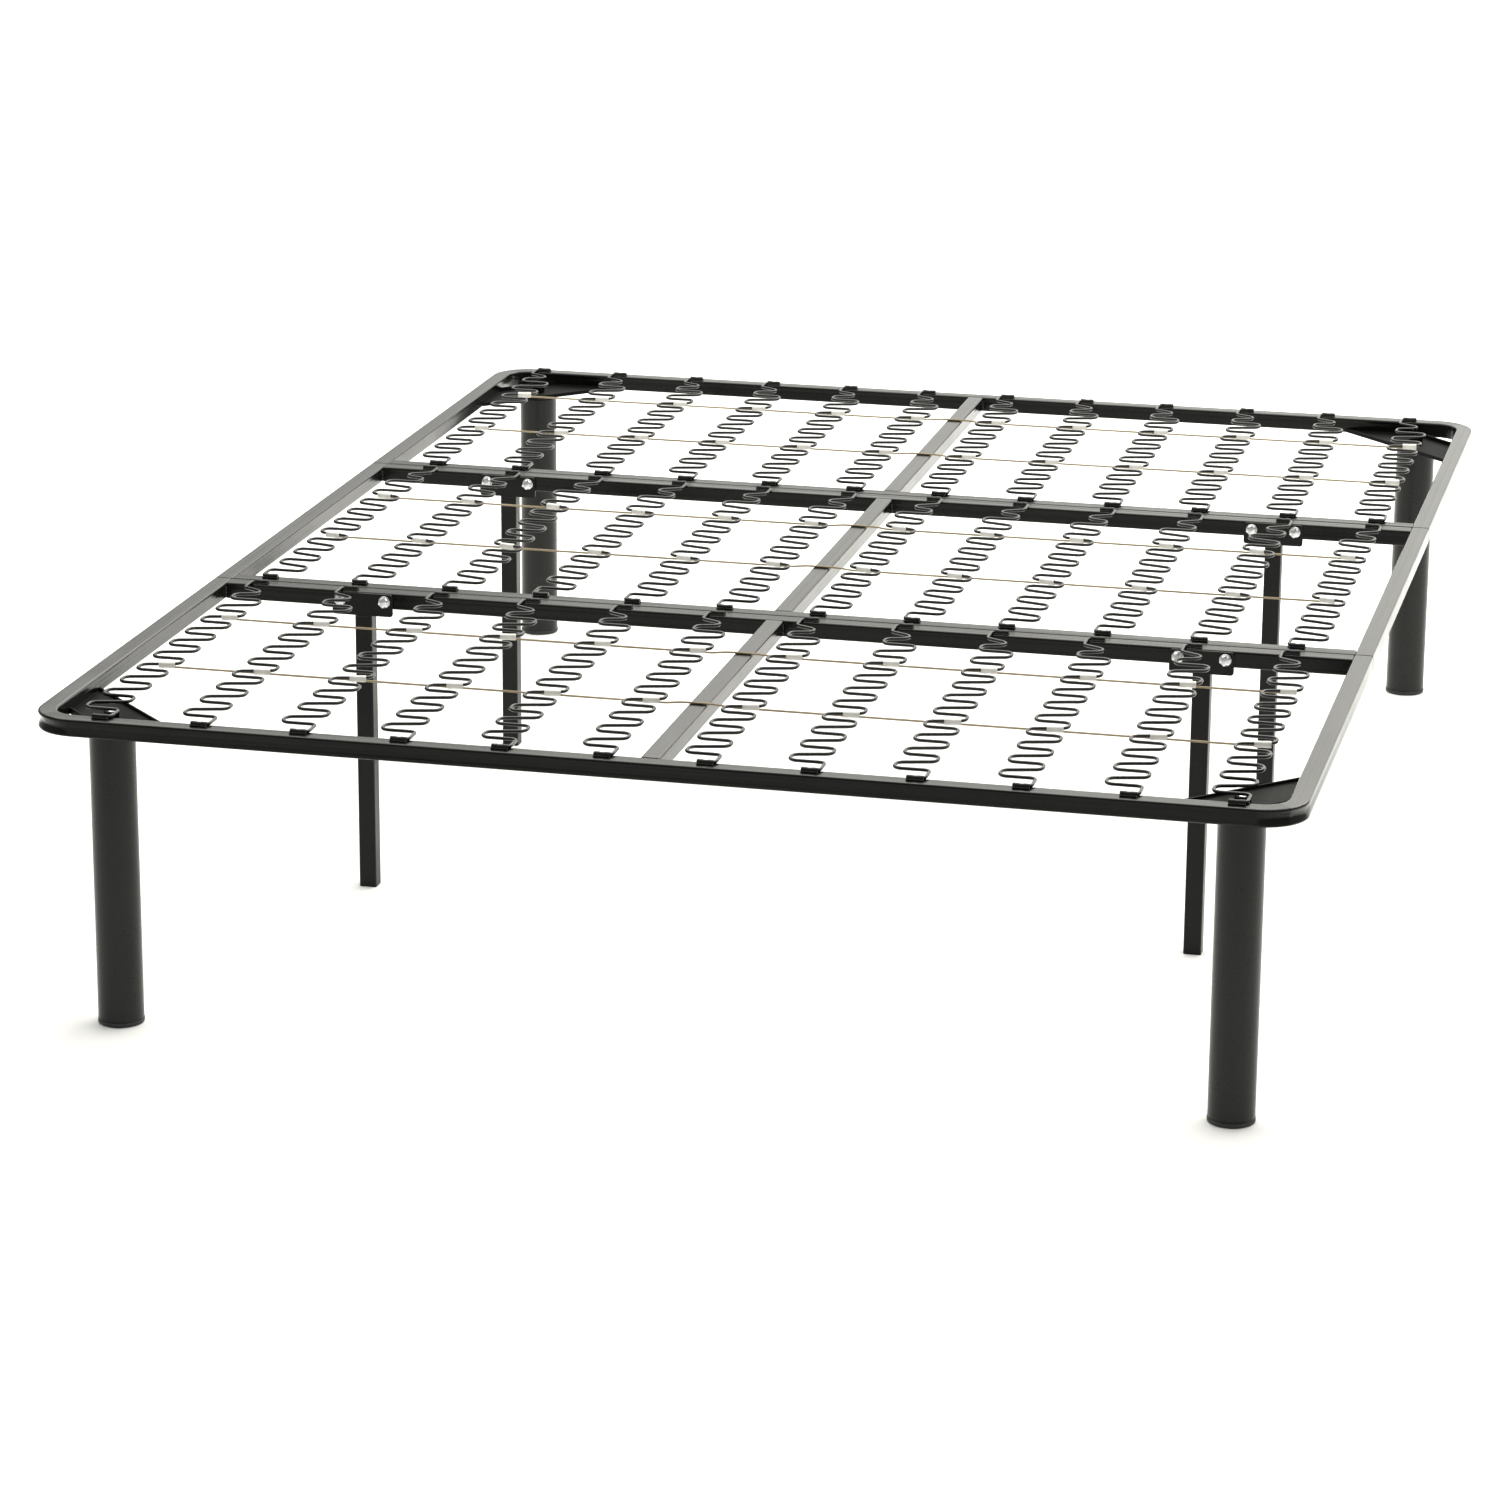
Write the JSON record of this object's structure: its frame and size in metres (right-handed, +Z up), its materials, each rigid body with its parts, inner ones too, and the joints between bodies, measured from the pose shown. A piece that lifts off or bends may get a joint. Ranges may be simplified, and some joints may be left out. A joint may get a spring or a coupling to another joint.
{
  "type": "metal bed frame",
  "caption": "Low black platform bed frame: welded square-tube panels bolted end to end, round corner legs, square support legs and zigzag sprung decking.",
  "frame": {"origin": "on the floor under the middle of the bed", "axes": "+Y along the bed from the foot end to the head end, +X across it to the right, +Z up"},
  "size_m": [1.524, 2.032, 0.41],
  "materials": {
    "black_paint": "semi-gloss black paint on steel tube",
    "leg_paint": "semi-gloss black paint on steel tube",
    "spring_enamel": "glossy black enamel on spring wire",
    "foot_plastic": "moulded black plastic",
    "zinc_plate": "bright zinc plate"
  },
  "bodies": {
    "root": {"frame_front": "black_paint", "frame_middle": "black_paint", "frame_rear": "black_paint", "leg_front_left": "leg_paint", "foot_cap_front_left": "foot_plastic", "support_leg_front_left": "leg_paint", "bolt_front_left_outer": "zinc_plate", "bolt_front_left_inner": "zinc_plate", "leg_front_right": "leg_paint", "foot_cap_front_right": "foot_plastic", "support_leg_front_right": "leg_paint", "bolt_front_right_outer": "zinc_plate", "bolt_front_right_inner": "zinc_plate", "leg_rear_left": "leg_paint", "foot_cap_rear_left": "foot_plastic", "support_leg_rear_left": "leg_paint", "bolt_rear_left_outer": "zinc_plate", "bolt_rear_left_inner": "zinc_plate", "leg_rear_right": "leg_paint", "foot_cap_rear_right": "foot_plastic", "support_leg_rear_right": "leg_paint", "bolt_rear_right_outer": "zinc_plate", "bolt_rear_right_inner": "zinc_plate", "spring_front_01": "spring_enamel", "spring_front_02": "spring_enamel", "spring_front_03": "spring_enamel", "spring_front_04": "spring_enamel", "spring_front_05": "spring_enamel", "spring_front_06": "spring_enamel", "spring_front_07": "spring_enamel", "spring_front_08": "spring_enamel", "spring_front_09": "spring_enamel", "spring_front_10": "spring_enamel", "spring_front_11": "spring_enamel", "spring_front_12": "spring_enamel", "spring_middle_01": "spring_enamel", "spring_middle_02": "spring_enamel", "spring_middle_03": "spring_enamel", "spring_middle_04": "spring_enamel", "spring_middle_05": "spring_enamel", "spring_middle_06": "spring_enamel", "spring_middle_07": "spring_enamel", "spring_middle_08": "spring_enamel", "spring_middle_09": "spring_enamel", "spring_middle_10": "spring_enamel", "spring_middle_11": "spring_enamel", "spring_middle_12": "spring_enamel", "spring_rear_01": "spring_enamel", "spring_rear_02": "spring_enamel", "spring_rear_03": "spring_enamel", "spring_rear_04": "spring_enamel", "spring_rear_05": "spring_enamel", "spring_rear_06": "spring_enamel", "spring_rear_07": "spring_enamel", "spring_rear_08": "spring_enamel", "spring_rear_09": "spring_enamel", "spring_rear_10": "spring_enamel", "spring_rear_11": "spring_enamel", "spring_rear_12": "spring_enamel"}
  },
  "joints": []
}
